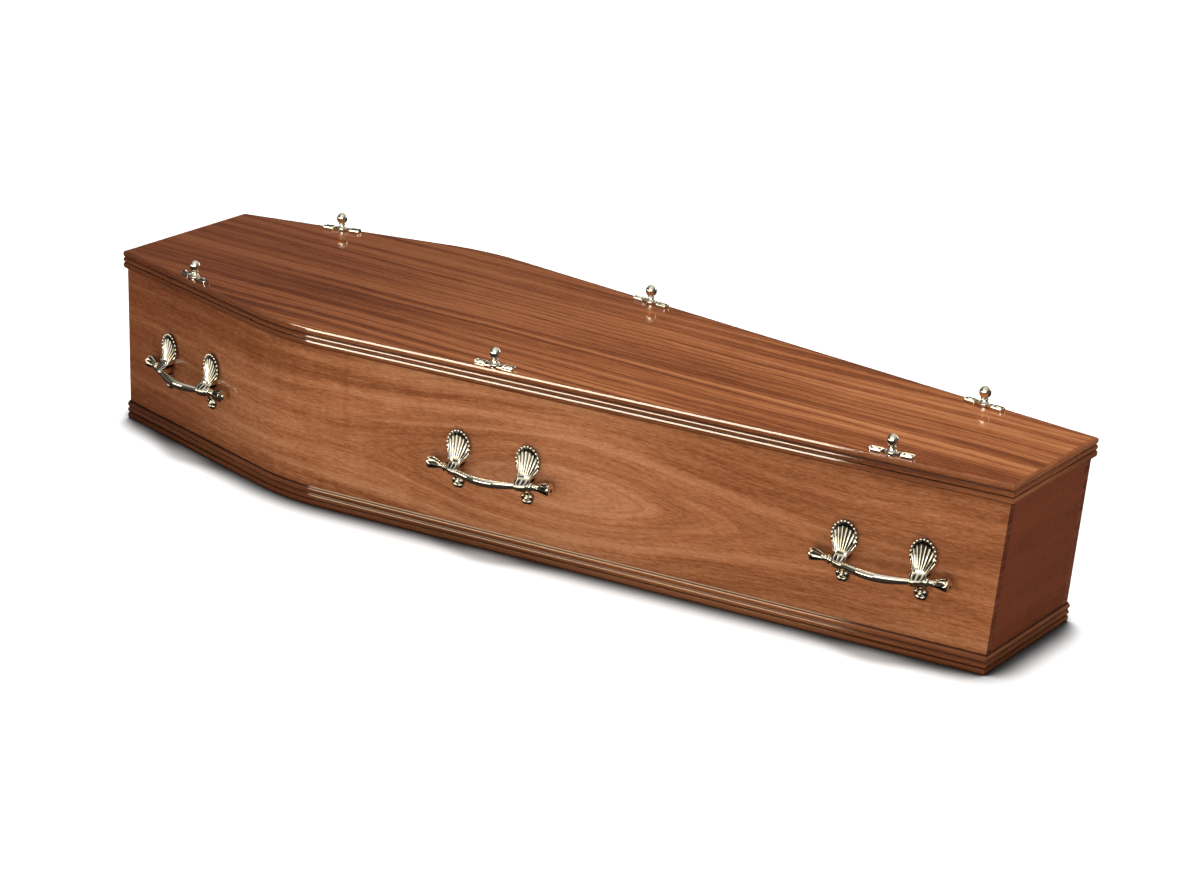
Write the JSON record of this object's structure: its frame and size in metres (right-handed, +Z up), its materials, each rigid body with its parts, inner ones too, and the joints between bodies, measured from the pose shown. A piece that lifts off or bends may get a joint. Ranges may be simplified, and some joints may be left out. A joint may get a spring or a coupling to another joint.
{
  "type": "coffin",
  "caption": "Shouldered wooden coffin with its flat lid on, reeded mouldings round lid and base, bowed bar handles along the sides and turned lid screws on small plates.",
  "frame": {"origin": "on the floor under the middle of the coffin, half way along and half way across", "axes": "+X from the head end to the foot end, +Y to the left of someone lying in it, +Z up"},
  "size_m": [1.925, 0.588, 0.3769],
  "materials": {
    "veneer": "gloss lacquered red-brown veneer",
    "moulding": "gloss lacquered dark red-brown hardwood",
    "plated_metal": "bright pale brass plate"
  },
  "bodies": {
    "root": {"base_board": "veneer", "base_moulding_foot": "moulding", "base_moulding_head": "moulding", "base_moulding_left": "moulding", "base_moulding_right": "moulding", "foot_board": "veneer", "handle_foot_left_bar": "plated_metal", "handle_foot_left_lug_a": "plated_metal", "handle_foot_left_lug_b": "plated_metal", "handle_foot_right_bar": "plated_metal", "handle_foot_right_lug_a": "plated_metal", "handle_foot_right_lug_b": "plated_metal", "handle_head_left_bar": "plated_metal", "handle_head_left_lug_a": "plated_metal", "handle_head_left_lug_b": "plated_metal", "handle_head_right_bar": "plated_metal", "handle_head_right_lug_a": "plated_metal", "handle_head_right_lug_b": "plated_metal", "handle_middle_left_bar": "plated_metal", "handle_middle_left_lug_a": "plated_metal", "handle_middle_left_lug_b": "plated_metal", "handle_middle_right_bar": "plated_metal", "handle_middle_right_lug_a": "plated_metal", "handle_middle_right_lug_b": "plated_metal", "head_board": "veneer", "lid_board": "veneer", "lid_moulding_foot": "moulding", "lid_moulding_head": "moulding", "lid_moulding_left": "moulding", "lid_moulding_right": "moulding", "lid_screw_foot_left": "plated_metal", "lid_screw_foot_right": "plated_metal", "lid_screw_head_left": "plated_metal", "lid_screw_head_right": "plated_metal", "lid_screw_middle_left": "plated_metal", "lid_screw_middle_right": "plated_metal", "lid_screw_plate_foot_left": "plated_metal", "lid_screw_plate_foot_right": "plated_metal", "lid_screw_plate_head_left": "plated_metal", "lid_screw_plate_head_right": "plated_metal", "lid_screw_plate_middle_left": "plated_metal", "lid_screw_plate_middle_right": "plated_metal", "side_board_left": "veneer", "side_board_right": "veneer"}
  },
  "joints": []
}
